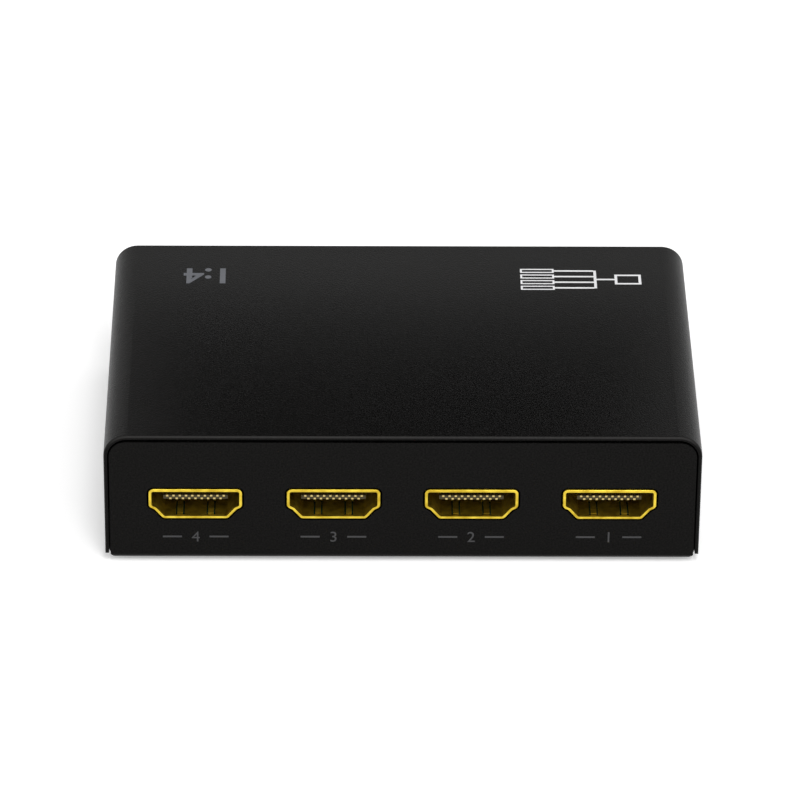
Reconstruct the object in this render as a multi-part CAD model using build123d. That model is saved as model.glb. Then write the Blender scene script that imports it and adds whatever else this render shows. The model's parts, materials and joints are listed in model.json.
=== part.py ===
# Video splitter: one digital video input, four outputs, in a two-piece sheet metal box.
# Millimetres. +X to the right seen from the outputs, +Y towards the input side, +Z up.
# The origin is under the middle of the box, on the surface that its feet stand on.
import os

from build123d import *

os.makedirs("parts", exist_ok=True)

# Case
cover_width = 95.0
cover_depth = 61.0
body_height = 23.1  # from the tray's underside to the cover's top
cover_wall = 0.6
cover_bend = 3.8  # outside radius of the two long bends
cover_edge_round = 0.45  # rounding of the cover's front and rear edges
cover_lift = 1.0  # the cover's side walls end this far above the tray's underside
tray_wall = 0.8
tray_bend = 1.0  # outside radius
panel_recess = 0.25  # panels stand back from the cover's edges
panel_side_gap = 0.25
panel_top_gap = 0.65
panel_corner = 2.7
panel_relief = 0.8  # cut at the panels' bottom corners
flange_height = 8.5
flange_end_gap = 0.6  # from a flange's end to the panel's back

# Fasteners and feet
thread_radius = 1.25
thread_gap = 0.05
cover_screw_head = 2.1
cover_screw_length = 3.0
cover_screw_inset = 12.0  # from the cover's front and rear edges
collar_wall = 0.9
collar_length = 1.2
board_screw_head = 2.3
board_screw_head_height = 1.6
board_screw_length = 5.0
cross_width = 0.5
cross_share = 0.6  # cross recess's length as a share of the head's diameter
foot_height = 0.7
foot_radius = 4.0
foot_round = 0.3
foot_inset = 8.5  # from the box's sides to a foot's centre

# Video socket, the standard 19-contact shape
opening_width = 14.0
opening_height = 4.55
opening_side = 2.6
shoulder_in = 0.75
shoulder_down = 0.4
slope_in = 1.3
opening_corner = 0.35
shell_wall = 0.3
shell_length = 11.5
rim_width = 0.45
rim_thickness = 0.4
rim_round = 0.12
rim_proud = 0.1  # the rim's face stands proud of the panel
cutout_gap = 0.3  # between the rim and the panel's cut-out
port_height = 10.4  # opening's centre above the tray's underside
output_count = 4
outer_port_inset = 14.5  # from the cover's sides to the outer sockets' centres
finger_x = 2.45
finger_width = 0.9
finger_slot = 0.25
finger_start = 0.75
finger_length = 4.2
finger_lift = 0.32
finger_crest = 1.1  # from the finger's tip to its crest
leg_width = 1.4
leg_front = 3.0
leg_rear_inset = 2.5  # rear legs from the shell's back end
leg_bite = 0.5  # how far a leg runs up the shell's side
tail_below = 0.8  # legs and tails stand out below the board
leg_slot_gap = 0.15
insulator_gap = 0.05
tongue_width = 10.3
tongue_thickness = 0.7
tongue_top = 0.85  # above the opening's centre
tongue_recess = 1.35
block_length = 4.0
block_behind = 0.8  # the insulator stands out behind the shell
contact_pitch = 1.0
upper_contacts = 10
contact_width = 0.36
contact_thickness = 0.15
contact_proud = 0.05
contact_tip = 0.3
contact_riser_gap = 0.2
contact_foot = 0.8

# Circuit board
board_side_gap = 3.1  # from the tray's side flanges
board_end_gap = 0.95  # from the tray's panels
board_thickness = 1.6
board_corner = 1.5
socket_lift = 0.15  # from the board to the shells' undersides
post_radius = 2.5
post_spigot = 1.9
post_hole_depth = 4.2
post_side_inset = 3.2  # rear posts from the board's sides
post_rear_inset = 6.5
post_front_inset = 13.0  # front posts, behind the sockets
post_fit = 0.05
screw_hole_gap = 0.2
sheet_thickness = 0.25
sheet_inset = 2.0  # from the tray's walls
sheet_hole_gap = 0.6

# Power inlet
jack_width = 9.0
jack_height = 11.0
jack_depth = 13.7
jack_round = 1.5
jack_axis_height = 6.5
jack_panel_gap = 0.25
jack_collar = 3.9
jack_collar_gap = 0.2
jack_bore = 3.0
jack_bore_depth = 9.5
jack_pin = 1.0
jack_pin_recess = 0.5
jack_pin_tip = 0.25
jack_stem = 0.7
jack_stem_gap = 0.05
leaf_width = 2.0
leaf_thickness = 0.3
leaf_level = 2.85  # leaf's upper face below the axis
leaf_gap = 0.15
leaf_recess = 3.0
tail_gap = 0.2
plate_thickness = 0.4
plate_width = 2.4

# Setting switch with four sliding levers
switch_pitch = 2.54
lever_count = 4
switch_end_wall = 1.04
switch_height = 7.0
switch_depth = 6.0
switch_wall = 0.8
switch_set_back = 0.65  # its face behind the panel's face
switch_panel_gap = 0.2
lever_width = 1.2
lever_height = 1.3
lever_gap = 0.1
lever_travel = 2.0
lever_proud = 0.8
lever_plate_width = 1.9
lever_plate_height = 3.0
lever_plate = 0.7
rib_width = 0.34
wiper_width = 0.9
wiper_height = 2.2
wiper_thickness = 0.6
pad_thickness = 0.5
pad_width = 1.0
lower_pad_height = 0.6
lower_pad_level = -0.2  # pad centres from the switch's centre
upper_pad_height = 0.8
upper_pad_level = 1.5
stem_side = 0.5
row_step = 1.6
row_start = 0.7

# Indicator lamps
lamp_pitch = 4.5
lamp_count = 5
lamp_radius = 1.5
lamp_flange = 1.85
lamp_flange_length = 1.0
lamp_proud = 0.2
lamp_hole_gap = 0.2
holder_width = 4.2
holder_depth = 4.2
holder_height = 5.8
holder_panel_gap = 1.0
holder_gap = 0.05
lead_side = 0.5
lead_pitch = 2.0
lead_back = 1.2

# Parts on the board
chip_side = 14.0
chip_height = 1.4
pad_side = 12.0
pad_height = 0.5
sink_side = 20.0
sink_base = 2.0
sink_height = 8.5
fin_count = 7
fin_width = 1.0
small_chip_side = 7.0
small_chip_height = 1.1
memory_length = 5.0
memory_width = 4.0
memory_height = 1.5
lead_width = 0.35
lead_thickness = 0.15
lead_reach = 1.0
lead_step = 0.9
chip_leads = 12
small_chip_leads = 6
memory_leads = 4
chip_lift = 0.1
crystal_length = 11.0
crystal_width = 4.6
crystal_height = 3.5
regulator_length = 6.5
regulator_width = 3.5
regulator_height = 1.6
regulator_leads = 3
regulator_step = 2.3
coil_side = 6.0
coil_height = 3.0
coil_round = 1.0
can_radius = 3.15
can_height = 6.7
can_base_side = 6.6
can_base_height = 1.0
can_base_chamfer = 1.2
can_top_round = 0.4
fuse_length = 4.6
fuse_width = 3.2
fuse_height = 1.2
surge_length = 2.5
surge_width = 1.0
surge_height = 0.6
surge_step = 3.2
surge_count = 4
surge_from_socket = 2.0
small_length = 1.6
small_width = 0.8
capacitor_height = 0.8
resistor_height = 0.45
overrun = 5.0  # how far cutting tools run past what they cut

# Places along the rear panel, as shares of the board's width from its middle
input_share = -0.32
lamp_row_share = -0.04
switch_share = 0.2
jack_share = 0.36

# Places on the board, as shares of its width and depth from its middle
splitter_chip_shares = (0.0, -0.06)
controller_chip_shares = (-0.27, 0.07)
memory_chip_shares = (-0.38, 0.07)
crystal_shares = (-0.27, -0.1)
fuse_shares = (0.37, 0.1)
regulator_shares = [(0.2, 0.12), (0.2, -0.02), (-0.14, 0.17)]
coil_shares = [(0.29, 0.12), (0.29, -0.02)]
can_shares = [(0.39, -0.01), (0.39, -0.17), (0.24, -0.16)]
capacitor_shares = [(x, y) for x in (-0.13, 0.13) for y in (-0.2, -0.15, -0.1, -0.05, 0.0, 0.05)]
capacitor_shares += [(x, 0.13) for x in (-0.08, -0.04, 0.0, 0.04, 0.08)]
capacitor_shares += [(x, 0.215) for x in (-0.27, -0.23, 0.02, 0.06)]
resistor_shares = [(x, y) for x in (-0.35, -0.2) for y in (-0.2, -0.16)]
resistor_shares += [(x, 0.175) for x in (-0.31, -0.27, -0.23, 0.0, 0.04, 0.08)]
resistor_shares += [(x, -0.22) for x in (-0.06, -0.02, 0.02, 0.06)]

# Levels and faces that several pieces share
floor_low = foot_height
floor_top = floor_low + tray_wall
case_top = floor_low + body_height
panel_top = case_top - cover_wall - panel_top_gap
panel_face = cover_depth / 2 - panel_recess
panel_back = panel_face - tray_wall
panel_width = cover_width - 2 * (cover_wall + panel_side_gap)
flange_face = cover_width / 2 - cover_wall
board_width = 2 * (flange_face - tray_wall - board_side_gap)
board_depth = 2 * (panel_back - board_end_gap)
port_level = floor_low + port_height
port_pitch = (cover_width - 2 * outer_port_inset) / (output_count - 1)
rim_face = panel_face + rim_proud
block_end = shell_length + block_behind
block_start = block_end - block_length
board_top = port_level - opening_height / 2 - shell_wall - socket_lift
board_low = board_top - board_thickness
tails_low = board_low - tail_below
lamp_level = board_top + switch_height / 2
lever_level = lamp_level - lever_travel / 2  # at rest, at the lower end of the slots
jack_level = board_top + jack_axis_height
switch_inner_width = lever_count * switch_pitch - rib_width
switch_width = switch_inner_width + 2 * switch_end_wall
input_x = input_share * board_width
switch_x = switch_share * board_width
jack_x = jack_share * board_width


def row(count, pitch, middle=0):
    """Evenly spaced places about a middle."""
    return [middle + (i - (count - 1) / 2) * pitch for i in range(count)]


output_xs = row(output_count, port_pitch)
lamp_xs = row(lamp_count, lamp_pitch, lamp_row_share * board_width)
lever_xs = row(lever_count, switch_pitch, switch_x)


def block(x_low, x_high, y_low, y_high, z_low, z_high):
    """A box between six planes."""
    middle = Pos((x_low + x_high) / 2, (y_low + y_high) / 2, (z_low + z_high) / 2)
    return middle * Box(x_high - x_low, y_high - y_low, z_high - z_low)


def bar(x, y_low, y_high, z, width, height):
    """A square bar along Y, centred on x and z."""
    return block(x - width / 2, x + width / 2, y_low, y_high, z - height / 2, z + height / 2)


def along_y(outline, y_low, y_high):
    """An outline drawn in X and Z, filled between two depths."""
    return Pos(0, y_high, 0) * extrude(Plane.XZ * outline, amount=y_high - y_low)


def along_x(outline, x_low, x_high):
    """An outline drawn in Y and Z, filled between two sides."""
    return Pos(x_low, 0, 0) * extrude(Plane.YZ * outline, amount=x_high - x_low)


def round_bar(x, z, radius, y_low, y_high):
    """A round bar along Y."""
    return along_y(Pos(x, z) * Circle(radius), y_low, y_high)


def post(x, y, radius, z_low, z_high):
    """A round bar along Z."""
    return Pos(x, y, (z_low + z_high) / 2) * Cylinder(radius, z_high - z_low)


def polygon(points):
    return make_face(Polyline(*points, close=True))


def group(pieces):
    """Separate solids that share one node."""
    solids = [solid for piece in pieces for solid in piece.solids()]
    return Compound(children=solids)


def turned(piece):
    """The same piece on the rear side."""
    return Rot(0, 0, 180) * piece


# Case

def upright_outline(width, low, high, corner):
    """A rectangle in X and Z with its two upper corners rounded."""
    outline = Pos(0, (low + high) / 2) * Rectangle(width, high - low)
    return fillet(outline.vertices().group_by(Axis.Y)[-1], corner)


def channel_outline(width, low, high, wall, bend):
    """The section of a sheet bent up along two sides."""
    outer = Pos(0, (low + high) / 2) * Rectangle(width, high - low)
    outer = fillet(outer.vertices().group_by(Axis.Y)[0], bend)
    inner = Pos(0, (low + wall + high) / 2) * Rectangle(width - 2 * wall, high - low - wall)
    inner = fillet(inner.vertices().group_by(Axis.Y)[0], bend - wall)
    return outer - inner


def cover_screw(grow=0):
    """A countersunk screw along -Z, its head's face at zero; grow widens it for a hole."""
    head_depth = cover_screw_head - thread_radius
    head = Pos(0, 0, -head_depth / 2) * Cone(thread_radius + grow, cover_screw_head + grow, head_depth)
    shank = post(0, 0, thread_radius + grow, -cover_screw_length, -head_depth)
    return head + shank


def cross_cut(head_radius, depth):
    """The cross recess of a screw's head, below zero."""
    arm = 2 * head_radius * cross_share
    return Pos(0, 0, -depth / 2) * (Box(arm, cross_width, depth) + Box(cross_width, arm, depth))


def at_cover_screws(piece):
    """The piece at each of the four side screws, its +Z turned outwards."""
    y = cover_depth / 2 - cover_screw_inset
    z = floor_low + flange_height / 2
    places = []
    for side in (-1, 1):
        for end in (-1, 1):
            places.append(Pos(side * cover_width / 2, end * y, z) * Rot(0, side * 90, 0) * piece)
    return places


def make_cover():
    low = floor_low + cover_lift
    half = cover_depth / 2
    outer = along_y(upright_outline(cover_width, low, case_top, cover_bend), -half, half)
    ends = outer.faces().filter_by(Axis.Y)
    outer = fillet([edge for face in ends for edge in face.edges()], cover_edge_round)
    inner_outline = upright_outline(cover_width - 2 * cover_wall, low - overrun, case_top - cover_wall,
                                    cover_bend - cover_wall)
    cover = outer - along_y(inner_outline, -half - overrun, half + overrun)
    for hole in at_cover_screws(cover_screw(thread_gap)):
        cover -= hole
    return cover


def make_cover_screws():
    depth = (cover_screw_head - thread_radius) / 2
    return group(at_cover_screws(cover_screw() - cross_cut(cover_screw_head, depth)))


def panel_outline():
    outline = upright_outline(panel_width, floor_low, panel_top, panel_corner)
    return chamfer(outline.vertices().group_by(Axis.Y)[0], panel_relief)


def at_posts(make):
    """One piece from each board post's place."""
    front = -board_depth / 2 + post_front_inset
    rear = board_depth / 2 - post_rear_inset
    side = board_width / 2 - post_side_inset
    return [make(x, y) for x, y in ((-port_pitch, front), (port_pitch, front), (-side, rear), (side, rear))]


def make_tray():
    ends = along_x(channel_outline(2 * panel_face, floor_low, panel_top, tray_wall, tray_bend),
                   -panel_width / 2, panel_width / 2)
    tray = ends & along_y(panel_outline(), -panel_face, panel_face)
    flange_end = panel_back - flange_end_gap
    sides = channel_outline(2 * flange_face, floor_low, floor_low + flange_height, tray_wall, tray_bend)
    tray += along_y(sides, -flange_end, flange_end)
    collar_end = cover_wall + tray_wall + collar_length
    collar = post(0, 0, thread_radius + collar_wall, -collar_end, -cover_wall - tray_wall)
    for piece in at_cover_screws(collar):
        tray += piece
    for hole in at_cover_screws(cover_screw(thread_gap)):
        tray -= hole
    for hole in at_posts(lambda x, y: post(x, y, post_spigot + post_fit, floor_low - overrun, floor_top)):
        tray -= hole
    for window in panel_windows():
        tray -= window
    return tray


def panel_windows():
    """Tools for every hole in the front and rear panels."""
    socket_hole = along_y(grown(rim_width + cutout_gap), -overrun, overrun)
    windows = [Pos(x, -panel_face, port_level) * socket_hole for x in output_xs]
    windows.append(turned(Pos(-input_x, -panel_face, port_level) * socket_hole))
    inside = panel_back - rim_proud
    windows.append(round_bar(jack_x, jack_level, jack_collar + jack_collar_gap, inside, rim_face))
    for x in lamp_xs:
        windows.append(round_bar(x, lamp_level, lamp_radius + lamp_hole_gap, inside, rim_face))
    windows.append(bar(switch_x, inside, rim_face, lamp_level,
                       switch_width + 2 * switch_panel_gap, switch_height + 2 * switch_panel_gap))
    return windows


def make_feet():
    x = cover_width / 2 - foot_inset
    y = cover_depth / 2 - foot_inset
    foot = post(0, 0, foot_radius, 0, foot_height)
    foot = fillet(foot.edges().filter_by(GeomType.CIRCLE).group_by(Axis.Z)[0], foot_round)
    return group([Pos(i * x, j * y, 0) * foot for i in (-1, 1) for j in (-1, 1)])


def make_sheet():
    x = flange_face - tray_wall - sheet_inset
    y = panel_back - sheet_inset
    sheet = block(-x, x, -y, y, floor_top, floor_top + sheet_thickness)
    for hole in at_posts(lambda i, j: post(i, j, post_radius + sheet_hole_gap, floor_low, board_low)):
        sheet -= hole
    return sheet


def make_board_posts():
    def one(x, y):
        body = post(x, y, post_radius, floor_top, board_low) + post(x, y, post_spigot, floor_low, floor_top)
        return body - post(x, y, thread_radius + thread_gap, board_low - post_hole_depth, board_low)
    return group(at_posts(one))


def make_board_screws():
    def one(x, y):
        top = board_top + board_screw_head_height
        head = post(x, y, board_screw_head, board_top, top)
        rim = head.edges().filter_by(GeomType.CIRCLE).group_by(Axis.Z)[-1]
        head = fillet(rim, board_screw_head_height / 2)
        shank = post(x, y, thread_radius, board_top - board_screw_length, board_top)
        return head + shank - Pos(x, y, top) * cross_cut(board_screw_head, board_screw_head_height / 2)
    return group(at_posts(one))


# Video sockets, drawn with the rim's face at y = 0 and the opening's centre at z = 0

def opening_points():
    half = opening_width / 2
    top = opening_height / 2
    side_low = top - opening_side
    shoulder_x = half - shoulder_in
    shoulder = side_low - shoulder_down
    right = [(half, top), (half, side_low), (shoulder_x, shoulder), (shoulder_x - slope_in, -top)]
    return right + [(-x, z) for x, z in reversed(right)]


def grown(amount):
    """The opening's outline moved outwards, or inwards for a negative amount."""
    outline = polygon(opening_points())
    outline = fillet(outline.vertices(), opening_corner)
    return offset(outline, amount=amount, kind=Kind.ARC) if amount else outline


def socket_rim():
    rim = along_y(grown(rim_width) - grown(0), 0, rim_thickness)
    return fillet(rim.faces().sort_by(Axis.Y)[0].edges(), rim_round)


def spring_fingers():
    """The slots to cut and the fingers to add, two in the lower wall and two in the upper."""
    inner = opening_height / 2
    outer = inner + shell_wall
    root = finger_start + finger_length
    crest = finger_start + finger_crest
    tip_lift = finger_lift / 2
    side = [(root, -outer), (crest, -outer + finger_lift), (finger_start, -outer + tip_lift),
            (finger_start, -inner + tip_lift), (crest, -inner + finger_lift), (root, -inner)]
    slots, fingers = [], []
    for up in (-1, 1):
        outline = polygon([(y, -up * z) for y, z in side])
        for x in (-finger_x, finger_x):
            fingers.append(along_x(outline, x - finger_width / 2, x + finger_width / 2))
            reach = finger_width / 2 + finger_slot
            low, high = sorted((up * inner, up * outer))
            slots.append(block(x - reach, x + reach, finger_start - finger_slot, root, low, high))
    return slots, fingers


def socket_legs(gap=0):
    """The four legs of a shell, or with a gap the tools for their slots in the board."""
    half = opening_width / 2
    top = opening_height / 2 - opening_side + leg_bite
    low = tails_low - port_level - gap
    legs = []
    reach = leg_width / 2 + gap
    for y in (leg_front, shell_length - leg_rear_inset):
        for side in (-1, 1):
            x_low, x_high = sorted((side * half, side * (half + shell_wall)))
            legs.append(block(x_low - gap, x_high + gap, y - reach, y + reach, low, top))
    return legs


def make_shell():
    shell = along_y(grown(shell_wall) - grown(0), 0, shell_length) + socket_rim()
    slots, fingers = spring_fingers()
    for slot in slots:
        shell -= slot
    for piece in fingers + socket_legs():
        shell += piece
    return shell


def contact_outline(level, outward):
    """A contact seen from the side; outward is +1 on the tongue's upper face, -1 on the lower."""
    face = level + outward * contact_proud
    under = face - outward * contact_thickness
    tip = face - outward * contact_tip
    front = tongue_recess - contact_proud
    back = block_end + contact_riser_gap + contact_thickness
    board = board_top - port_level
    hook = [(front, face), (front, tip), (front + contact_thickness, tip), (front + contact_thickness, under)]
    upper, lower = (face, under) if outward > 0 else (under, face)
    foot = [(back - contact_thickness, lower), (back - contact_thickness, board), (back + contact_foot, board),
            (back + contact_foot, board + contact_thickness), (back, board + contact_thickness), (back, upper)]
    return polygon(hook + foot) if outward > 0 else polygon(hook + foot[::-1])


def socket_contacts():
    upper = contact_outline(tongue_top, 1)
    lower = contact_outline(tongue_top - tongue_thickness, -1)
    contacts = []
    for outline, count in ((upper, upper_contacts), (lower, upper_contacts - 1)):
        for x in row(count, contact_pitch):
            contacts.append(along_x(outline, x - contact_width / 2, x + contact_width / 2))
    return contacts


def make_insulator():
    half = tongue_width / 2
    body = along_y(grown(-insulator_gap), block_start, block_end)
    body += block(-half, half, tongue_recess, block_start, tongue_top - tongue_thickness, tongue_top)
    body += block(-half, half, shell_length + insulator_gap, block_end, board_top - port_level, 0)
    for contact in socket_contacts():
        body -= contact
    return body


def socket_nodes(name, place):
    return {f"{name}_shell": place(make_shell()),
            f"{name}_insulator": place(make_insulator()),
            f"{name}_contacts": group([place(contact) for contact in socket_contacts()])}


def place_output(x):
    return lambda piece: Pos(x, -rim_face, port_level) * piece


def place_input(piece):
    return turned(Pos(-input_x, -rim_face, port_level) * piece)


# Power inlet

def leaf_blocks(gap=0):
    """The inlet's leaf and its tail, or with a gap the room that they need."""
    top = jack_level - leaf_level
    back = rim_face - leaf_recess
    housing_back = panel_back - jack_panel_gap - jack_depth
    tail_face = housing_back - tail_gap
    leaf = bar(jack_x, tail_face - leaf_thickness, back + gap, top - leaf_thickness / 2,
               leaf_width + 2 * gap, leaf_thickness + 2 * gap)
    tail = bar(jack_x, tail_face - leaf_thickness - gap, tail_face + gap, (tails_low + top) / 2,
               leaf_width + 2 * gap, top - tails_low)
    return leaf, tail


def pin_plate(gap=0):
    """The plate that joins the inlet's pin to the board, or with a gap the slot for it."""
    housing_back = panel_back - jack_panel_gap - jack_depth
    plate_face = housing_back - 2 * tail_gap - leaf_thickness
    top = jack_level + plate_width / 2
    return bar(jack_x, plate_face - plate_thickness - gap, plate_face + gap, (tails_low + top) / 2,
               plate_width + 2 * gap, top - tails_low)


def make_jack_housing():
    front = panel_back - jack_panel_gap
    back = front - jack_depth
    housing = bar(jack_x, back, front, board_top + jack_height / 2, jack_width, jack_height)
    housing = fillet(housing.edges().filter_by(Axis.Y).group_by(Axis.Z)[-1], jack_round)
    housing += round_bar(jack_x, jack_level, jack_collar, front, rim_face)
    housing -= round_bar(jack_x, jack_level, jack_bore, rim_face - jack_bore_depth, rim_face + overrun)
    housing -= round_bar(jack_x, jack_level, jack_stem + jack_stem_gap, back - overrun, rim_face)
    return housing - leaf_blocks(leaf_gap)[0]


def make_jack_pin():
    bore_end = rim_face - jack_bore_depth
    tip = rim_face - jack_pin_recess
    pin = round_bar(jack_x, jack_level, jack_pin, bore_end, tip)
    pin = chamfer(pin.edges().filter_by(GeomType.CIRCLE).group_by(Axis.Y)[-1], jack_pin_tip)
    plate = pin_plate()
    stem = round_bar(jack_x, jack_level, jack_stem, plate.bounding_box().max.Y, bore_end)
    return pin + stem + plate


def make_jack_leaf():
    leaf, tail = leaf_blocks()
    return leaf + tail


# Setting switch

def switch_planes():
    """Depths in the switch, from its face inwards: face, plate, wiper, pads and base."""
    face = panel_face - switch_set_back
    plate = face - switch_wall - lever_gap
    wiper = plate - lever_plate
    pads = wiper - wiper_thickness - lever_gap
    base = pads - pad_thickness
    return face, plate, wiper, pads, base


def make_switch_housing():
    face, plate, wiper, pads, base = switch_planes()
    back = face - switch_depth
    housing = bar(switch_x, back, face, lamp_level, switch_width, switch_height)
    inner_height = switch_height - 2 * switch_wall
    housing -= bar(switch_x, back - overrun, face - switch_wall, lamp_level, switch_inner_width, inner_height)
    for x in lever_xs:
        housing -= bar(x, back, face + overrun, lamp_level, lever_width + 2 * lever_gap,
                       lever_height + lever_travel + 2 * lever_gap)
    for left, right in zip(lever_xs, lever_xs[1:]):
        housing += bar((left + right) / 2, base, face - switch_wall, lamp_level, rib_width, inner_height)
    return housing


def make_lever(x):
    face, plate, wiper, pads, base = switch_planes()
    knob = bar(x, plate, face + lever_proud, lever_level, lever_width, lever_height)
    knob = fillet(knob.faces().sort_by(Axis.Y)[-1].edges(), lever_gap)
    return knob + bar(x, wiper, plate, lever_level, lever_plate_width, lever_plate_height)


def make_wiper(x):
    face, plate, wiper, pads, base = switch_planes()
    return bar(x, wiper - wiper_thickness, wiper, lever_level, wiper_width, wiper_height)


def switch_stems(gap=0):
    """The switch's eight stems and their pads, each one solid."""
    face, plate, wiper, pads, base = switch_planes()
    first_row = face - switch_depth - row_start
    side = stem_side + 2 * gap
    pads_and_rows = [(lower_pad_level, lower_pad_height, first_row),
                     (upper_pad_level, upper_pad_height, first_row - row_step)]
    stems = []
    for x in lever_xs:
        for level, height, y in pads_and_rows:
            z = lamp_level + level
            stem = bar(x, base, pads, z, pad_width, height)
            stem += bar(x, y - side / 2, base, z, side, side)
            stem += bar(x, y - side / 2, y + side / 2, (tails_low + z) / 2, side, z - tails_low)
            stems.append(stem)
    return stems


def make_switch_base():
    face, plate, wiper, pads, base = switch_planes()
    back = face - switch_depth
    body = bar(switch_x, back, base, lamp_level, switch_inner_width, switch_height - 2 * switch_wall)
    for stem in switch_stems():
        body -= stem
    return body


# Indicator lamps

def holder_front():
    return panel_back - holder_panel_gap


def make_holders():
    front = holder_front()
    back = front - holder_depth
    seat = back + lamp_flange_length + lead_side
    holders = []
    for x in lamp_xs:
        holder = bar(x, back, front, board_top + holder_height / 2, holder_width, holder_height)
        holder -= round_bar(x, lamp_level, lamp_radius + holder_gap, back - overrun, front + overrun)
        holder -= round_bar(x, lamp_level, lamp_flange + holder_gap, back - overrun, seat)
        holders.append(holder)
    return group(holders)


def make_lamp(x):
    seat = holder_front() - holder_depth + lamp_flange_length + lead_side
    dome = panel_face + lamp_proud - lamp_radius
    lamp = round_bar(x, lamp_level, lamp_radius, seat, dome)
    lamp += round_bar(x, lamp_level, lamp_flange, seat - lamp_flange_length, seat)
    return lamp + Pos(x, dome, lamp_level) * Sphere(lamp_radius)


def lead_blocks(gap=0):
    """The lamps' leads, each back from the lamp and down through the board."""
    start = holder_front() - holder_depth + lead_side
    end = start - lead_back
    side = lead_side + 2 * gap
    leads = []
    for x in lamp_xs:
        for step in (-1, 1):
            middle = x + step * lead_pitch / 2
            lead = bar(middle, end - side, start, lamp_level, side, side)
            lead += bar(middle, end - side, end, (tails_low + lamp_level) / 2, side, lamp_level - tails_low)
            leads.append(lead)
    return leads


# Circuit board and what stands on it

def board_place(shares):
    return shares[0] * board_width, shares[1] * board_depth


def standing(length, width, height, shares, lift=0):
    """A block on the board."""
    x, y = board_place(shares)
    low = board_top + lift
    return block(x - length / 2, x + length / 2, y - width / 2, y + width / 2, low, low + height)


def make_board():
    board = Pos(0, 0, (board_low + board_top) / 2) * Box(board_width, board_depth, board_thickness)
    board = fillet(board.edges().filter_by(Axis.Z), board_corner)
    holes = at_posts(lambda x, y: post(x, y, thread_radius + screw_hole_gap, floor_top, board_top + overrun))
    slots = [leg for x in output_xs for leg in map(place_output(x), socket_legs(leg_slot_gap))]
    slots += [place_input(leg) for leg in socket_legs(leg_slot_gap)]
    slots += [leaf_blocks(leg_slot_gap)[1], pin_plate(leg_slot_gap)]
    slots += switch_stems(leg_slot_gap) + lead_blocks(leg_slot_gap)
    for tool in holes + slots:
        board -= tool
    return board


def gull_leads(x, y, across, count, step):
    """Leads on the two sides of a chip that face +X and -X."""
    leads = []
    foot_top = board_top + lead_thickness
    riser_top = board_top + chip_lift + lead_width
    for side in (-1, 1):
        near = x + side * across / 2
        foot_low, foot_high = sorted((near, near + side * lead_reach))
        riser_low, riser_high = sorted((near, near + side * lead_thickness))
        for middle in row(count, step, y):
            y_low, y_high = middle - lead_width / 2, middle + lead_width / 2
            leads.append(block(foot_low, foot_high, y_low, y_high, board_top, foot_top))
            leads.append(block(riser_low, riser_high, y_low, y_high, board_top, riser_top))
    return leads


def chip(side, height, leads, shares):
    """A square chip with leads on all four sides."""
    x, y = board_place(shares)
    body = standing(side, side, height, shares, chip_lift)
    body = chamfer(body.edges().group_by(Axis.Z)[-1], chip_lift)
    for lead in gull_leads(0, 0, side, leads, lead_step):
        body += Pos(x, y, 0) * lead
        body += Pos(x, y, 0) * Rot(0, 0, 90) * lead
    return body


def make_memory_chip():
    x, y = board_place(memory_chip_shares)
    body = standing(memory_width, memory_length, memory_height, memory_chip_shares, chip_lift)
    for lead in gull_leads(x, y, memory_width, memory_leads, lead_step):
        body += lead
    return body


def make_heat_sink():
    low = board_top + chip_lift + chip_height + pad_height
    x, y = board_place(splitter_chip_shares)
    half = sink_side / 2
    sink = block(x - half, x + half, y - half, y + half, low, low + sink_base)
    step = (sink_side - fin_width) / (fin_count - 1)
    for middle in row(fin_count, step, x):
        sink += bar(middle, y - half, y + half, low + sink_height / 2, fin_width, sink_height)
    return sink


def make_thermal_pad():
    return standing(pad_side, pad_side, pad_height, splitter_chip_shares, chip_lift + chip_height)


def make_crystal():
    x, y = board_place(crystal_shares)
    outline = Pos(x, y) * SlotOverall(crystal_length, crystal_width)
    return Pos(0, 0, board_top) * extrude(outline, amount=crystal_height)


def make_regulator(shares):
    x, y = board_place(shares)
    body = standing(regulator_width, regulator_length, regulator_height, shares)
    near = x - regulator_width / 2
    for middle in row(regulator_leads, regulator_step, y):
        body += block(near - lead_reach, near, middle - lead_width, middle + lead_width,
                      board_top, board_top + lead_thickness)
    far = x + regulator_width / 2
    tab = regulator_length / 4
    return body + block(far, far + lead_reach, y - tab, y + tab, board_top, board_top + lead_thickness)


def make_coil(shares):
    coil = standing(coil_side, coil_side, coil_height, shares)
    return fillet(coil.edges().filter_by(Axis.Z), coil_round)


def make_can(shares):
    x, y = board_place(shares)
    base = standing(can_base_side, can_base_side, can_base_height, shares)
    base = chamfer(base.edges().filter_by(Axis.Z).group_by(Axis.X)[0], can_base_chamfer)
    low = board_top + can_base_height
    can = post(x, y, can_radius, low, low + can_height)
    can = fillet(can.edges().filter_by(GeomType.CIRCLE).group_by(Axis.Z)[-1], can_top_round)
    return base + can


def make_surge_arrays():
    """Small protection arrays behind every socket."""
    y = rim_face - block_end - contact_riser_gap - contact_foot - surge_from_socket
    sockets = [(x, -1) for x in output_xs] + [(input_x, 1)]
    arrays = []
    for x, side in sockets:
        y_low, y_high = sorted((side * y, side * (y - surge_width)))
        for middle in row(surge_count, surge_step, x):
            arrays.append(bar(middle, y_low, y_high, board_top + surge_height / 2, surge_length, surge_height))
    return group(arrays)


def small_parts(shares_list, height):
    return group([standing(small_width, small_length, height, shares) for shares in shares_list])


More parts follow.
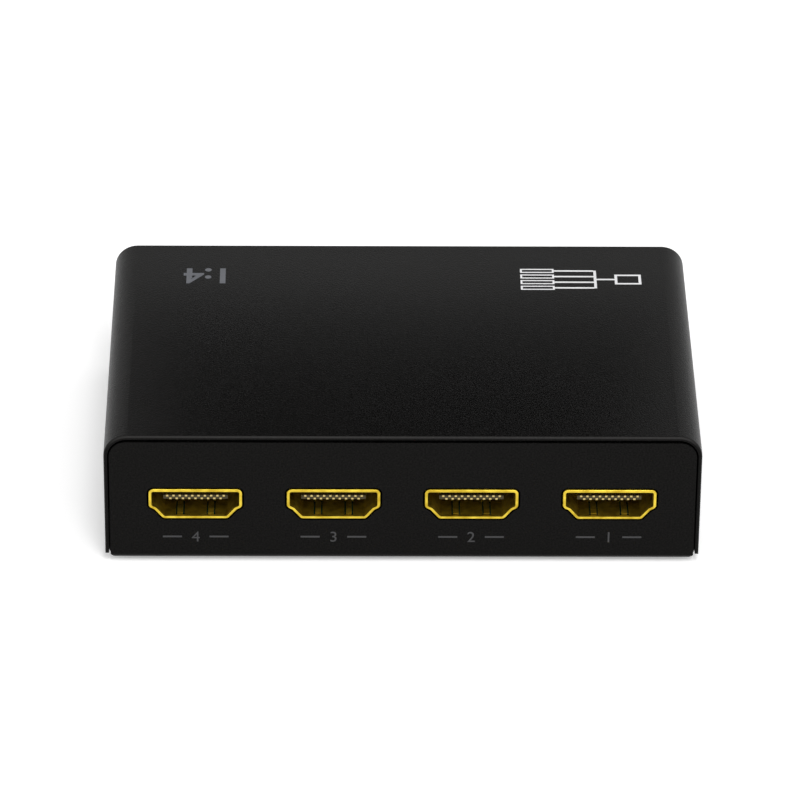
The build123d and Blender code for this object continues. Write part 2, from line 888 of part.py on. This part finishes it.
def all_nodes():
    nodes = {"cover": make_cover(), "tray": make_tray(), "cover_screws": make_cover_screws(),
             "rubber_feet": make_feet(), "insulating_sheet": make_sheet(), "board_posts": make_board_posts(),
             "board_screws": make_board_screws(), "circuit_board": make_board()}
    for number, x in zip(range(output_count, 0, -1), output_xs):
        nodes.update(socket_nodes(f"output_{number}", place_output(x)))
    nodes.update(socket_nodes("input", place_input))
    nodes.update({"inlet_housing": make_jack_housing(), "inlet_pin": make_jack_pin(),
                  "inlet_leaf": make_jack_leaf()})
    nodes.update({"switch_housing": make_switch_housing(), "switch_base": make_switch_base(),
                  "switch_terminals": group(switch_stems())})
    for number, x in zip(range(lever_count, 0, -1), lever_xs):
        nodes[f"switch_lever_{number}"] = make_lever(x)
        nodes[f"switch_wiper_{number}"] = make_wiper(x)
    nodes.update({"lamp_holders": make_holders(), "power_lamp": make_lamp(lamp_xs[-1]),
                  "output_lamps": group([make_lamp(x) for x in lamp_xs[:-1]]),
                  "lamp_leads": group(lead_blocks())})
    nodes.update({"splitter_chip": chip(chip_side, chip_height, chip_leads, splitter_chip_shares),
                  "thermal_pad": make_thermal_pad(), "heat_sink": make_heat_sink(),
                  "controller_chip": chip(small_chip_side, small_chip_height, small_chip_leads,
                                          controller_chip_shares),
                  "memory_chip": make_memory_chip(), "clock_crystal": make_crystal(),
                  "inlet_fuse": standing(fuse_length, fuse_width, fuse_height, fuse_shares),
                  "voltage_regulators": group([make_regulator(shares) for shares in regulator_shares]),
                  "power_coils": group([make_coil(shares) for shares in coil_shares]),
                  "power_capacitors": group([make_can(shares) for shares in can_shares]),
                  "surge_arrays": make_surge_arrays(),
                  "small_capacitors": small_parts(capacitor_shares, capacitor_height),
                  "small_resistors": small_parts(resistor_shares, resistor_height)})
    return nodes


nodes = all_nodes()
for name, shape in nodes.items():
    export_step(shape, f"parts/{name}.step")
print(len(nodes), "nodes written")
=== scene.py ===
# %% [markdown]
# # A video splitter: one input, four outputs, in a black sheet-metal box
#
# The box is about as big as a pack of cards. A U-shaped cover with a satin black powder coat slides
# over a tray whose ends are bent up into a front and a rear panel. Four gold-plated video sockets sit
# in the front panel. The rear panel has the input socket, the power inlet, five small lamps and a block
# of four tiny switches.
#
# The shapes come from the CAD model and are loaded as a frame that is never moved. This script gives
# every piece its finish, adds the printed marks, and sets up the floor, the light and the camera.

# %% Load the frame
import json
import math

import bmesh
import bpy
from mathutils import Matrix, Vector


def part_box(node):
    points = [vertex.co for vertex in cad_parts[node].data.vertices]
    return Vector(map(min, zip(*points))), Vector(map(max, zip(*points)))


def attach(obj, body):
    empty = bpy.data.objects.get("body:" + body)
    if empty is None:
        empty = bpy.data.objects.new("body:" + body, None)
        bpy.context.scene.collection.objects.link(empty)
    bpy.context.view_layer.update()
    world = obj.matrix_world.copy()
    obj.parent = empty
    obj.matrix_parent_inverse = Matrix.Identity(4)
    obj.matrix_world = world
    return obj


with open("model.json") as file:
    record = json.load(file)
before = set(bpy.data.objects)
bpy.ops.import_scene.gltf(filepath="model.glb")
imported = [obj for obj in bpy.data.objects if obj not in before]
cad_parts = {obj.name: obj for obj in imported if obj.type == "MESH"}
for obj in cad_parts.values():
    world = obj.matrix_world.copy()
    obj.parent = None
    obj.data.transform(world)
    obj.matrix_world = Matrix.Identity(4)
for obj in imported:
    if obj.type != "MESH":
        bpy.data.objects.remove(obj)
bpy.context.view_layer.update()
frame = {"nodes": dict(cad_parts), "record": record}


scene = bpy.context.scene
mm = 0.001

# %% [markdown]
# ## The camera
#
# The photograph was taken from the outputs' side, about 31 degrees above the floor, with a long lens:
# the box narrows only a little towards its rear. The viewpoint below was found by fitting a pinhole
# camera to the box's edges and the four sockets, so it is given as plain angles and a distance rather
# than by pointing the camera by eye. The photograph is turned by half a degree, and so is the camera.

# %% Set up the camera
yaw = math.radians(-0.832)
elevation = math.radians(31.404)
roll = math.radians(-0.555)
camera_distance = 0.933
focal_pixels = 5697.4
photo_pixels = 800
sensor_width = 36.0
target = Vector((-0.13, 0.0, 12.055)) * mm

camera_data = bpy.data.cameras.new("camera")
camera_data.sensor_width = sensor_width
camera_data.lens = focal_pixels / photo_pixels * sensor_width
camera_data.clip_start = 0.01
camera = bpy.data.objects.new("camera", camera_data)
scene.collection.objects.link(camera)

level_reach = math.cos(elevation)
back = Vector((math.sin(yaw) * level_reach, -math.cos(yaw) * level_reach, math.sin(elevation)))
right = Vector((math.cos(yaw), math.sin(yaw), 0.0))
down = (-back).cross(right)
across = right * math.cos(roll) + down * math.sin(roll)
upwards = right * math.sin(roll) - down * math.cos(roll)
facing = Matrix((across, upwards, back)).transposed().to_4x4()
camera.matrix_world = Matrix.Translation(target + back * camera_distance) @ facing
scene.camera = camera
scene.view_settings.view_transform = "Standard"
print("camera at", [round(value, 3) for value in camera.matrix_world.translation],
      "lens", round(camera_data.lens, 1))

# %% [markdown]
# ## The white surroundings
#
# A real studio shows nothing but white behind a small object. The world here is white wherever the
# camera, a reflection or glass looks at it. What it gives to matt surfaces is weaker, because the lamps
# add their part. A light path node tells the two apart: it knows what kind of look a ray is.

# %% Make the world
world_light = 0.55
white = (1.0, 1.0, 1.0, 1.0)


def reckon(tree, operation, first, second=None):
    """One step of arithmetic on the values of other nodes."""
    node = tree.nodes.new("ShaderNodeMath")
    node.operation = operation
    tree.links.new(first, node.inputs[0])
    if second is not None:
        tree.links.new(second, node.inputs[1])
    return node.outputs[0]


def looked_at(tree):
    """1 for what the camera, a reflection or glass sees, 0 for light that falls on matt surfaces."""
    path = tree.nodes.new("ShaderNodeLightPath")
    seen = path.outputs["Is Camera Ray"]
    for kind in ("Is Glossy Ray", "Is Transmission Ray"):
        seen = reckon(tree, "MAXIMUM", seen, path.outputs[kind])
    return seen


world = bpy.data.worlds.new("white surroundings")
scene.world = world
world.use_nodes = True
sky = world.node_tree
strength = sky.nodes.new("ShaderNodeMapRange")
strength.inputs["To Min"].default_value = world_light
strength.inputs["To Max"].default_value = 1.0
sky.links.new(looked_at(sky), strength.inputs["Value"])
sky.nodes["Background"].inputs["Color"].default_value = white
sky.links.new(strength.outputs["Result"], sky.nodes["Background"].inputs["Strength"])
print("white world that lights with", world_light)

# %% [markdown]
# ## The floor
#
# The object stands on a sheet of plain pale paper. The paper is matt, so it takes the object's soft
# shadow. A little light of its own, which only shows where it is looked at, lifts the lit paper to the
# same white as the world, so no edge shows between the two.

# %% Write the helpers for the stage
def matt_paper(name, color):
    """A fully matt material."""
    material = bpy.data.materials.new(name)
    material.use_nodes = True
    shader = material.node_tree.nodes["Principled BSDF"]
    shader.inputs["Base Color"].default_value = color
    shader.inputs["Roughness"].default_value = 1.0
    shader.inputs["Specular IOR Level"].default_value = 0.0
    return material


def new_piece(name, form, material):
    """Turns a form into an object in the scene, with its material."""
    mesh = bpy.data.meshes.new(name)
    form.to_mesh(mesh)
    form.free()
    mesh.materials.append(material)
    piece = bpy.data.objects.new(name, mesh)
    scene.collection.objects.link(piece)
    return piece


print("stage helpers ready")

# %% Lay the floor
floor_half = 2.0
floor_lift = 0.3
paper = matt_paper("white paper", (0.93, 0.93, 0.93, 1.0))
tree = paper.node_tree
glow = tree.nodes.new("ShaderNodeEmission")
glow.inputs["Strength"].default_value = floor_lift
dark = tree.nodes.new("ShaderNodeEmission")
dark.inputs["Strength"].default_value = 0.0
chosen = tree.nodes.new("ShaderNodeMixShader")
tree.links.new(looked_at(tree), chosen.inputs["Fac"])
tree.links.new(dark.outputs[0], chosen.inputs[1])
tree.links.new(glow.outputs[0], chosen.inputs[2])
both = tree.nodes.new("ShaderNodeAddShader")
tree.links.new(tree.nodes["Principled BSDF"].outputs[0], both.inputs[0])
tree.links.new(chosen.outputs[0], both.inputs[1])
tree.links.new(both.outputs[0], tree.nodes["Material Output"].inputs["Surface"])

floor_form = bmesh.new()
bmesh.ops.create_grid(floor_form, x_segments=1, y_segments=1, size=floor_half)
floor = new_piece("floor", floor_form, paper)
print("floor", 2 * floor_half, "m wide")

# %% [markdown]
# ## The lamps
#
# Three large soft lamps light the box from the front right, the front left and from high in front.
# Large lamps give soft shadows and broad sheens, as a studio's softboxes do. The high one is tall and
# narrow, so that it draws the bright line along the rounded front edge of the cover.

# %% Hang the lamps
def hang_lamp(name, place, width, height, power):
    """A soft rectangular lamp that points at the box."""
    light = bpy.data.lights.new(name, "AREA")
    light.shape = "RECTANGLE"
    light.size = width
    light.size_y = height
    light.energy = power
    lamp = bpy.data.objects.new(name, light)
    lamp.location = place
    lamp.rotation_euler = (Vector(place) - target).to_track_quat("Z", "Y").to_euler()
    scene.collection.objects.link(lamp)
    print(name, "at", place, "with", power, "W")


hang_lamp("front right lamp", (0.85, -0.8, 0.75), width=0.7, height=0.7, power=4.5)
hang_lamp("front left lamp", (-0.85, -0.8, 0.75), width=0.7, height=0.7, power=2.0)
hang_lamp("high front lamp", (0.15, -0.75, 1.2), width=0.35, height=0.9, power=8.0)

# %% [markdown]
# ## The dark card
#
# The top of the real box fades from a soft sheen at its rear edge to near black at its front edge,
# because the studio is dark above the white paper. A photographer gets that with a black card, which
# only shows in reflections. The card here is the same: it is hidden from the camera, throws no shadow,
# and only shows in what is glossy. It leans from just above the cover's rear edge up and forwards.

# %% Hang the dark card
card_left, card_right = -0.047, 0.045
card_low = Vector((0.0, 0.0345, 0.0378))
card_high = Vector((0.0, -0.03, 0.6))

card_form = bmesh.new()
card_corners = ((card_low, card_left), (card_low, card_right), (card_high, card_right),
                (card_high, card_left))
card_form.faces.new([card_form.verts.new(edge + Vector((side, 0.0, 0.0)))
                     for edge, side in card_corners])
card = new_piece("dark_card", card_form, matt_paper("black paper", (0.02, 0.02, 0.02, 1.0)))
card.visible_camera = False
card.visible_diffuse = False
card.visible_transmission = False
card.visible_volume_scatter = False
card.visible_shadow = False
print("dark card", round(card_right - card_left, 3), "m wide")

# %% [markdown]
# ## Helpers for finishes
#
# A finish is a shader with a little unevenness in it. Each one below starts from a plain shader and
# adds noise to its colour, its roughness and its height. Noise is read in object coordinates, which are
# metres here, so a spot size can be given as a real length.

# %% Write the helpers for patterns
def new_finish(name, color, roughness, metallic=0.0, level=0.5):
    """A material with its node tree, its shader and the object's own coordinates."""
    material = bpy.data.materials.new(name)
    material.use_nodes = True
    tree = material.node_tree
    shader = tree.nodes["Principled BSDF"]
    shader.inputs["Base Color"].default_value = (*color, 1.0)
    shader.inputs["Roughness"].default_value = roughness
    shader.inputs["Metallic"].default_value = metallic
    shader.inputs["Specular IOR Level"].default_value = level
    place = tree.nodes.new("ShaderNodeTexCoord").outputs["Object"]
    return material, tree, shader, place


def noise(tree, place, spot, detail=2.0):
    """Cloudy noise with spots about as wide as a length in metres."""
    node = tree.nodes.new("ShaderNodeTexNoise")
    node.inputs["Scale"].default_value = 1.0 / spot
    node.inputs["Detail"].default_value = detail
    tree.links.new(place, node.inputs["Vector"])
    return node.outputs["Fac"]


def spread(tree, factor, low, high):
    """The middle of a noise stretched to run from low to high."""
    node = tree.nodes.new("ShaderNodeMapRange")
    node.inputs["From Min"].default_value = 0.3
    node.inputs["From Max"].default_value = 0.7
    node.inputs["To Min"].default_value = low
    node.inputs["To Max"].default_value = high
    tree.links.new(factor, node.inputs["Value"])
    return node.outputs["Result"]


print("pattern helpers ready")

# %% Write the helpers for colour and height
def color_sockets(sockets):
    """The colour sockets among a node's sockets."""
    return [socket for socket in sockets if socket.type == "RGBA"]


def mix_colors(tree, factor, first, second):
    """From the first colour to the second as the factor goes from 0 to 1."""
    node = tree.nodes.new("ShaderNodeMix")
    node.data_type = "RGBA"
    for socket, color in zip(color_sockets(node.inputs), (first, second)):
        socket.default_value = (*color, 1.0)
    tree.links.new(factor, node.inputs["Factor"])
    return color_sockets(node.outputs)[0]


def mix_between(tree, factor, first, second):
    """From another node's colour to a plain colour as the factor goes from 0 to 1."""
    mixed = mix_colors(tree, factor, second, second)
    tree.links.new(first, color_sockets(mixed.node.inputs)[0])
    return mixed


def emboss(tree, shader, height, depth):
    """Raises and lowers the surface by a height that runs from 0 to 1, depth metres deep."""
    node = tree.nodes.new("ShaderNodeBump")
    node.inputs["Strength"].default_value = 1.0
    node.inputs["Distance"].default_value = depth
    tree.links.new(height, node.inputs["Height"])
    tree.links.new(node.outputs["Normal"], shader.inputs["Normal"])


print("colour and height helpers ready")

# %% Write the recipe for plain finishes
finishes = {}
broad_spot = 30


def moulded(name, color, roughness, spot=0.4 * mm, depth=0.006 * mm, metallic=0.0, level=0.5,
            uneven=0.12):
    """A finish with slightly uneven colour and roughness and a fine surface grain."""
    material, tree, shader, place = new_finish(name, color, roughness, metallic, level)
    fine = noise(tree, place, spot)
    broad = noise(tree, place, spot * broad_spot)
    dull = tuple(value * (1.0 - uneven) for value in color)
    tree.links.new(mix_colors(tree, spread(tree, broad, 0.0, 1.0), dull, color),
                   shader.inputs["Base Color"])
    tree.links.new(spread(tree, fine, roughness * 0.9, roughness * 1.1), shader.inputs["Roughness"])
    emboss(tree, shader, fine, depth)
    return material


print("recipe ready, with clouds", broad_spot, "times as wide as the grain")

# %% [markdown]
# ## The powder coat
#
# Powder coat melts into a skin with a very fine pebble. Its spots are a quarter of a millimetre wide,
# and at a glancing look they break the sheen into a soft grain. Dark and paler specks of the same size
# lie in it. Over the rounded front and rear edges of the cover the colour is made paler. This is a
# painted
# highlight: it stands in for the bright line that light draws along those edges. The surface's direction
# finds those edges: only there does it face partly up and partly forwards or back, so the product of the
# two parts is large only there.

# %% Make the powder coat
pebble_size, pebble_depth = 0.24 * mm, 0.06 * mm
speck_size = 0.28 * mm
coat_dark, coat_pale = (0.0002, 0.0002, 0.0002), (0.0056, 0.0053, 0.0051)
# painted highlight: the base colour turns this pale on the rounded front and rear edges of the cover
painted_highlight_color = (0.022, 0.0215, 0.021)
edge_start, edge_full = 0.1, 0.5

coat, tree, shader, place = new_finish("black powder coat", (0.0022, 0.0021, 0.002), 0.35, level=0.068)
shader.inputs["Specular Tint"].default_value = (1.0, 0.98, 0.95, 1.0)
pebble = noise(tree, place, pebble_size, detail=3.0)
speck = noise(tree, place, speck_size, detail=1.0)
skin = mix_colors(tree, spread(tree, speck, 0.0, 1.0), coat_dark, coat_pale)

direction = tree.nodes.new("ShaderNodeSeparateXYZ")
tree.links.new(place.node.outputs["Normal"], direction.inputs[0])
slant = reckon(tree, "MULTIPLY", direction.outputs["Y"], direction.outputs["Z"])
# where the painted highlight lies: large only where the surface faces partly up and partly forwards or
# back
edge = tree.nodes.new("ShaderNodeMapRange")
edge.interpolation_type = "SMOOTHSTEP"
edge.inputs["From Min"].default_value = edge_start
edge.inputs["From Max"].default_value = edge_full
tree.links.new(reckon(tree, "ABSOLUTE", slant), edge.inputs["Value"])
tree.links.new(mix_between(tree, edge.outputs["Result"], skin, painted_highlight_color),
               shader.inputs["Base Color"])
tree.links.new(spread(tree, pebble, 0.3, 0.38), shader.inputs["Roughness"])
emboss(tree, shader, pebble, pebble_depth)
finishes["black_coat"] = coat
print(coat.name)

# %% [markdown]
# ## The gold of the sockets
#
# The shells are folded from thin sheet and plated. Plated gold is a metal, so its colour is the colour
# of its reflections. It is slightly greenish here, as in the photograph. The plating is satin rather
# than bright: a mirror-like shell would only show the dark plastic inside it, while a satin one also
# catches the light that falls in through its mouth. A very shallow waviness varies its tone.

# %% Make the gold
wave_size, wave_depth = 1.2 * mm, 0.05 * mm
grain_size = 0.1 * mm
gold_deep, gold_light = (0.5, 0.345, 0.026), (0.77, 0.58, 0.062)

gold, tree, shader, place = new_finish("satin gold plate", gold_light, 0.37, metallic=1.0)
wave = noise(tree, place, wave_size, detail=1.0)
tree.links.new(mix_colors(tree, spread(tree, wave, 0.0, 1.0), gold_deep, gold_light),
               shader.inputs["Base Color"])
tree.links.new(spread(tree, noise(tree, place, grain_size), 0.32, 0.43), shader.inputs["Roughness"])
emboss(tree, shader, wave, wave_depth)
finishes["gold_plate"] = gold
finishes["contact_gold"] = moulded("contact gold", (0.6, 0.47, 0.19), 0.3, spot=0.2 * mm,
                                   depth=0.004 * mm, metallic=1.0)
print(gold.name, "and", finishes["contact_gold"].name)

# %% [markdown]
# ## The other finishes
#
# The rest is moulded plastic, plated metal, rubber and ceramic. They share one recipe with their own
# colours, roughness and grain, because they are the same kinds of surface: solid colour with a little
# unevenness.

# %% Make the plastics and the rubbers
# partly painted light: the dark socket plastic is tinted olive-gold and made lighter, standing in for
# the gold light reflected into the shaded back of the socket
finishes["socket_plastic"] = moulded("socket plastic with painted gold light", (0.052, 0.041, 0.014), 0.5, spot=0.2 * mm,
                                     level=0.3)
finishes["black_plastic"] = moulded("black plastic", (0.022, 0.022, 0.022), 0.45, spot=0.25 * mm,
                                    depth=0.01 * mm, level=0.4)
finishes["white_plastic"] = moulded("white plastic", (0.78, 0.78, 0.75), 0.4, uneven=0.04)
finishes["chip_plastic"] = moulded("chip plastic", (0.03, 0.03, 0.03), 0.65, spot=0.2 * mm,
                                   depth=0.01 * mm)
finishes["film"] = moulded("dark film", (0.1, 0.1, 0.095), 0.3, spot=2.0 * mm)
finishes["foot_rubber"] = moulded("black rubber", (0.018, 0.018, 0.018), 0.8, spot=0.3 * mm,
                                  depth=0.02 * mm, level=0.3)
finishes["pad_rubber"] = moulded("thermal pad", (0.42, 0.46, 0.54), 0.7, spot=0.5 * mm,
                                 depth=0.02 * mm)
print(len(finishes), "finishes with the plastics and the rubbers")

# %% Make the plain metals and the ceramics
finishes["black_screw"] = moulded("blackened steel", (0.02, 0.02, 0.021), 0.35, metallic=0.6,
                                  spot=0.3 * mm)
finishes["tinned_steel"] = moulded("tinned steel", (0.62, 0.62, 0.6), 0.35, metallic=1.0)
finishes["plated_screw"] = moulded("zinc plate", (0.6, 0.6, 0.6), 0.32, metallic=1.0)
finishes["tinned_brass"] = moulded("tinned brass", (0.66, 0.65, 0.62), 0.3, metallic=1.0)
finishes["sink_aluminium"] = moulded("black anodised aluminium", (0.05, 0.05, 0.052), 0.4,
                                     metallic=0.7)
finishes["can_aluminium"] = moulded("drawn aluminium", (0.75, 0.75, 0.76), 0.25, metallic=1.0)
finishes["fuse_ceramic"] = moulded("pale ceramic", (0.75, 0.71, 0.6), 0.5)
finishes["ferrite"] = moulded("ferrite", (0.06, 0.06, 0.062), 0.6, depth=0.02 * mm)
finishes["capacitor_ceramic"] = moulded("tan ceramic", (0.42, 0.3, 0.18), 0.5)
print(len(finishes), "finishes with the metals and the ceramics")

# %% [markdown]
# ## The circuit board and the lamp lenses
#
# The board is glass cloth under a dark green solder mask: the cloth's weave shows as a faint square
# grain. The lamps are clear tinted resin, dark while they are off, so light has to pass into them.

# %% Make the board's finish
weave_width = 0.8 * mm
weave_gap = 0.06
weave_colors = {"Color1": (0.005, 0.025, 0.013), "Color2": (0.006, 0.03, 0.016),
                "Mortar": (0.008, 0.04, 0.021)}

board, tree, shader, place = new_finish("solder mask", weave_colors["Color2"], 0.35, level=0.1)
weave = tree.nodes.new("ShaderNodeTexBrick")
weave.inputs["Scale"].default_value = 1.0 / weave_width
weave.inputs["Mortar Size"].default_value = weave_gap
for part, color in weave_colors.items():
    weave.inputs[part].default_value = (*color, 1.0)
tree.links.new(place, weave.inputs["Vector"])
tree.links.new(weave.outputs["Color"], shader.inputs["Base Color"])
emboss(tree, shader, noise(tree, place, 0.6 * mm), 0.01 * mm)
finishes["solder_mask"] = board
print(board.name)

# %% Make the lenses
def lens(name, color):
    """Clear tinted resin with a faint haze."""
    material, tree, shader, place = new_finish(name, color, 0.12)
    shader.inputs["Transmission Weight"].default_value = 0.55
    tree.links.new(spread(tree, noise(tree, place, 0.8 * mm), 0.08, 0.2), shader.inputs["Roughness"])
    return material


finishes["red_lamp"] = lens("red lens", (0.6, 0.03, 0.025))
finishes["green_lamp"] = lens("green lens", (0.1, 0.5, 0.16))
print(finishes["red_lamp"].name, "and", finishes["green_lamp"].name)

# %% [markdown]
# ## Putting the finishes on
#
# The record names a material slot for every CAD node, so the finishes are given out from that list.
# The shapes are not touched.

# %% Give every node its finish
slots = {part["node"]: part["material_slot"] for part in frame["record"]["subparts"]}
for name, node in frame["nodes"].items():
    for slot in node.material_slots:
        slot.material = finishes[slots[name]]
print(len(slots), "nodes finished")

# %% [markdown]
# ## The printed marks
#
# The front panel has a small grey number under each socket, the cover has two marks near its rear edge,
# and the rear panel has a few more. They are screen printed, so they are hardly thicker than a hair.
# Each is a thin mesh that stands a hundredth of a millimetre proud of the surface. Text starts as a text
# curve, is made a mesh, and is then scaled to its height and put in place.

# %% Write the helpers for printed words
print_rise = 0.01 * mm
print_sink = 0.01 * mm
print_depth = print_rise + print_sink
print_middle = (print_rise - print_sink) / 2


def print_ink(name, color):
    """Matt ink with faint pinholes in its tone."""
    return moulded(name, color, 0.55, spot=0.15 * mm, depth=0.003 * mm, level=0.3, uneven=0.15)


def text_form(words, height, weight=0.0):
    """Words as a flat thin form about the origin; weight makes the strokes bolder."""
    curve = bpy.data.curves.new("words", "FONT")
    curve.body = words
    curve.extrude = 0.05
    curve.offset = weight
    text = bpy.data.objects.new("words", curve)
    scene.collection.objects.link(text)
    flat = bpy.data.meshes.new_from_object(text.evaluated_get(bpy.context.evaluated_depsgraph_get()))
    form = bmesh.new()
    form.from_mesh(flat)
    bpy.data.objects.remove(text)
    bpy.data.meshes.remove(flat)
    bmesh.ops.remove_doubles(form, verts=form.verts, dist=0.0001)
    low = Vector([min(vert.co[i] for vert in form.verts) for i in range(3)])
    high = Vector([max(vert.co[i] for vert in form.verts) for i in range(3)])
    scale = height / (high.y - low.y)
    bmesh.ops.translate(form, verts=form.verts, vec=-(low + high) / 2)
    bmesh.ops.scale(form, verts=form.verts, vec=(scale, scale, print_depth / (high.z - low.z)))
    bmesh.ops.translate(form, verts=form.verts, vec=(0.0, 0.0, print_middle))
    return form


print("word helpers ready")

# %% Write the helpers for printed lines
def add_bar(form, left, right_end, low, high):
    """A thin printed bar between two corners."""
    size = Matrix.Diagonal((right_end - left, high - low, print_depth, 1.0))
    middle = Matrix.Translation(((left + right_end) / 2, (low + high) / 2, print_middle))
    bmesh.ops.create_cube(form, size=1.0, matrix=middle @ size)


def add_frame(form, left, right_end, low, high, line):
    """A printed outline of a rectangle."""
    add_bar(form, left, right_end, low, low + line)
    add_bar(form, left, right_end, high - line, high)
    add_bar(form, left, left + line, low + line, high - line)
    add_bar(form, right_end - line, right_end, low + line, high - line)


def place_print(form, name, ink, turn, where):
    """Makes the form an object on the case, turned and moved to its place."""
    bmesh.ops.transform(form, matrix=Matrix.Translation(where) @ turn, verts=form.verts)
    bmesh.ops.recalc_face_normals(form, faces=form.faces)
    piece = new_piece(name, form, ink)
    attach(piece, "case")


on_front = Matrix.Rotation(math.radians(90), 4, "X")
on_rear = Matrix.Rotation(math.radians(180), 4, "Z") @ on_front
on_top = Matrix.Rotation(math.radians(180), 4, "Z")
print("line helpers ready")

# %% [markdown]
# ## The numbers under the sockets
#
# Each socket has its number, between two short rules. The numbers run 4, 3, 2, 1 from the left,
# because the outputs are counted from the input side.

# %% Print the numbers under the sockets
tray_low, tray_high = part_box("tray")
label_height = 1.9 * mm
label_level = 4.9 * mm
rule_inner, rule_outer, rule_half = 2.2 * mm, 5.25 * mm, 0.16 * mm
label_ink = print_ink("dark grey ink", (0.045, 0.045, 0.047))


def add_rules(form, inner, outer):
    """Two short printed rules, left and right of the middle."""
    add_bar(form, -outer, -inner, -rule_half, rule_half)
    add_bar(form, inner, outer, -rule_half, rule_half)


for number in (4, 3, 2, 1):
    shell_low, shell_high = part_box(f"output_{number}_shell")
    form = text_form(str(number), label_height)
    add_rules(form, rule_inner, rule_outer)
    middle = (shell_low[0] + shell_high[0]) / 2
    place_print(form, f"output_number_{number}", label_ink, on_front,
                (middle, tray_low[1], label_level))
print("numbers 4 to 1 printed")

# %% [markdown]
# ## The marks on the cover
#
# The cover has two plain marks near its rear edge: the numbers of inputs and outputs, and a drawing of
# one box that feeds four others. They read from the input side.

# %% Print the ratio on the cover
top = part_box("cover")[1][2]
ratio_height, ratio_weight = 5.0 * mm, 0.02
ratio_ink = print_ink("mid grey ink", (0.13, 0.135, 0.15))
place_print(text_form("1:4", ratio_height, ratio_weight), "ratio_mark", ratio_ink, on_top,
            (-32.4 * mm, 20.1 * mm, top))
print("ratio printed", ratio_height, "m high")

# %% Print the drawing on the cover
line = 0.45 * mm
thin_line = line * 0.7
source_left, source_right, source_half = -10.0 * mm, -5.6 * mm, 1.6 * mm
trunk, trunk_half = -2.6 * mm, 2.9 * mm
branch_end, branch_step = 4.4 * mm, 1.85 * mm
screen_right, screen_half = 10.0 * mm, 0.65 * mm
drawing_ink = print_ink("light grey ink", (0.85, 0.85, 0.86))

form = bmesh.new()
add_frame(form, source_left, source_right, -source_half, source_half, line)
add_bar(form, source_right, trunk, -line / 2, line / 2)
add_bar(form, trunk, trunk + line, -trunk_half, trunk_half)
for step in (-1.5, -0.5, 0.5, 1.5):
    level = step * branch_step
    add_bar(form, trunk + line, branch_end, level - line / 2, level + line / 2)
    add_frame(form, branch_end, screen_right, level - screen_half, level + screen_half, thin_line)
place_print(form, "branching_mark", drawing_ink, on_top, (29.9 * mm, 19.2 * mm, top))
print("drawing printed", screen_right - source_left, "m wide")

# %% [markdown]
# ## The marks on the rear panel
#
# The rear panel has the same plain kind of marks: the four output lamps and the four levers are
# numbered, ON stands above the levers with a small arrow the way they slide, two rules with an arrow
# between them stand under the input socket, and a ring round a dot means the inlet's centre contact.
# A ring is a flat disc whose middle is cut out: inset makes the inner edge, and the inner face goes.

# %% Write the helpers for arrows and rings
rear = tray_high[1]
small_height = 1.5 * mm


def thicken(form, faces):
    """Gives flat faces at the bottom of the print its thickness."""
    made = bmesh.ops.extrude_face_region(form, geom=faces)
    raised = [part for part in made["geom"] if isinstance(part, bmesh.types.BMVert)]
    bmesh.ops.translate(form, verts=raised, vec=(0.0, 0.0, print_depth))


def add_arrow(form, middle, half, length):
    """A printed triangle that points up."""
    base = middle[1] - length / 2
    corners = ((middle[0] - half, base), (middle[0] + half, base), (middle[0], base + length))
    thicken(form, [form.faces.new([form.verts.new((x, y, -print_sink)) for x, y in corners])])


def add_ring(form, outer, inner):
    """A printed ring about the origin, or a disc where inner is zero."""
    made = bmesh.ops.create_circle(form, cap_ends=True, radius=outer, segments=32,
                                   matrix=Matrix.Translation((0.0, 0.0, -print_sink)))
    disc = made["verts"][0].link_faces[0]
    band = [disc]
    if inner:
        bmesh.ops.inset_region(form, faces=[disc], thickness=outer - inner, use_boundary=True)
        band = [face for face in form.faces
                if face is not disc and set(face.verts) & set(made["verts"])]
        bmesh.ops.delete(form, geom=[disc], context="FACES_ONLY")
    thicken(form, band)


def middle_of(node):
    """How far across a node's middle is."""
    low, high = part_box(node)
    return (low[0] + high[0]) / 2


print("arrow and ring helpers ready")

# %% Number the lamps
lamp_number_drop = 1.7 * mm
lamps_low, lamps_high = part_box("output_lamps")
lamp_radius = (lamps_high[2] - lamps_low[2]) / 2
lamp_step = (lamps_high[0] - lamps_low[0] - 2 * lamp_radius) / 3
for number in (1, 2, 3, 4):
    x = lamps_high[0] - lamp_radius - (number - 1) * lamp_step
    place_print(text_form(str(number), small_height), f"lamp_number_{number}", label_ink, on_rear,
                (x, rear, lamps_low[2] - lamp_number_drop))
print("lamps 1 to 4 numbered,", round(lamp_step / mm, 2), "mm apart")

# %% Mark the levers
lever_mark_gap = 1.5 * mm
housing_low, housing_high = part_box("switch_housing")
for number in (1, 2, 3, 4):
    place_print(text_form(str(number), small_height), f"lever_number_{number}", label_ink, on_rear,
                (middle_of(f"switch_lever_{number}"), rear, housing_low[2] - lever_mark_gap))
form = text_form("ON", small_height)
add_arrow(form, (3.0 * mm, 0.0), half=0.7 * mm, length=1.4 * mm)
place_print(form, "on_mark", label_ink, on_rear,
            (middle_of("switch_housing"), rear, housing_high[2] + lever_mark_gap))
print("levers 1 to 4 numbered, with ON above them")

# %% Mark the input and the power inlet
form = bmesh.new()
add_arrow(form, (0.0, 0.0), half=0.9 * mm, length=1.8 * mm)
add_rules(form, rule_inner, rule_outer)
place_print(form, "input_mark", label_ink, on_rear, (middle_of("input_shell"), rear, label_level))

form = bmesh.new()
add_ring(form, outer=1.0 * mm, inner=0.72 * mm)
add_ring(form, outer=0.32 * mm, inner=0.0)
add_rules(form, 1.6 * mm, 3.0 * mm)
place_print(form, "inlet_mark", label_ink, on_rear, (middle_of("inlet_housing"), rear, label_level))
print("input and inlet marked")
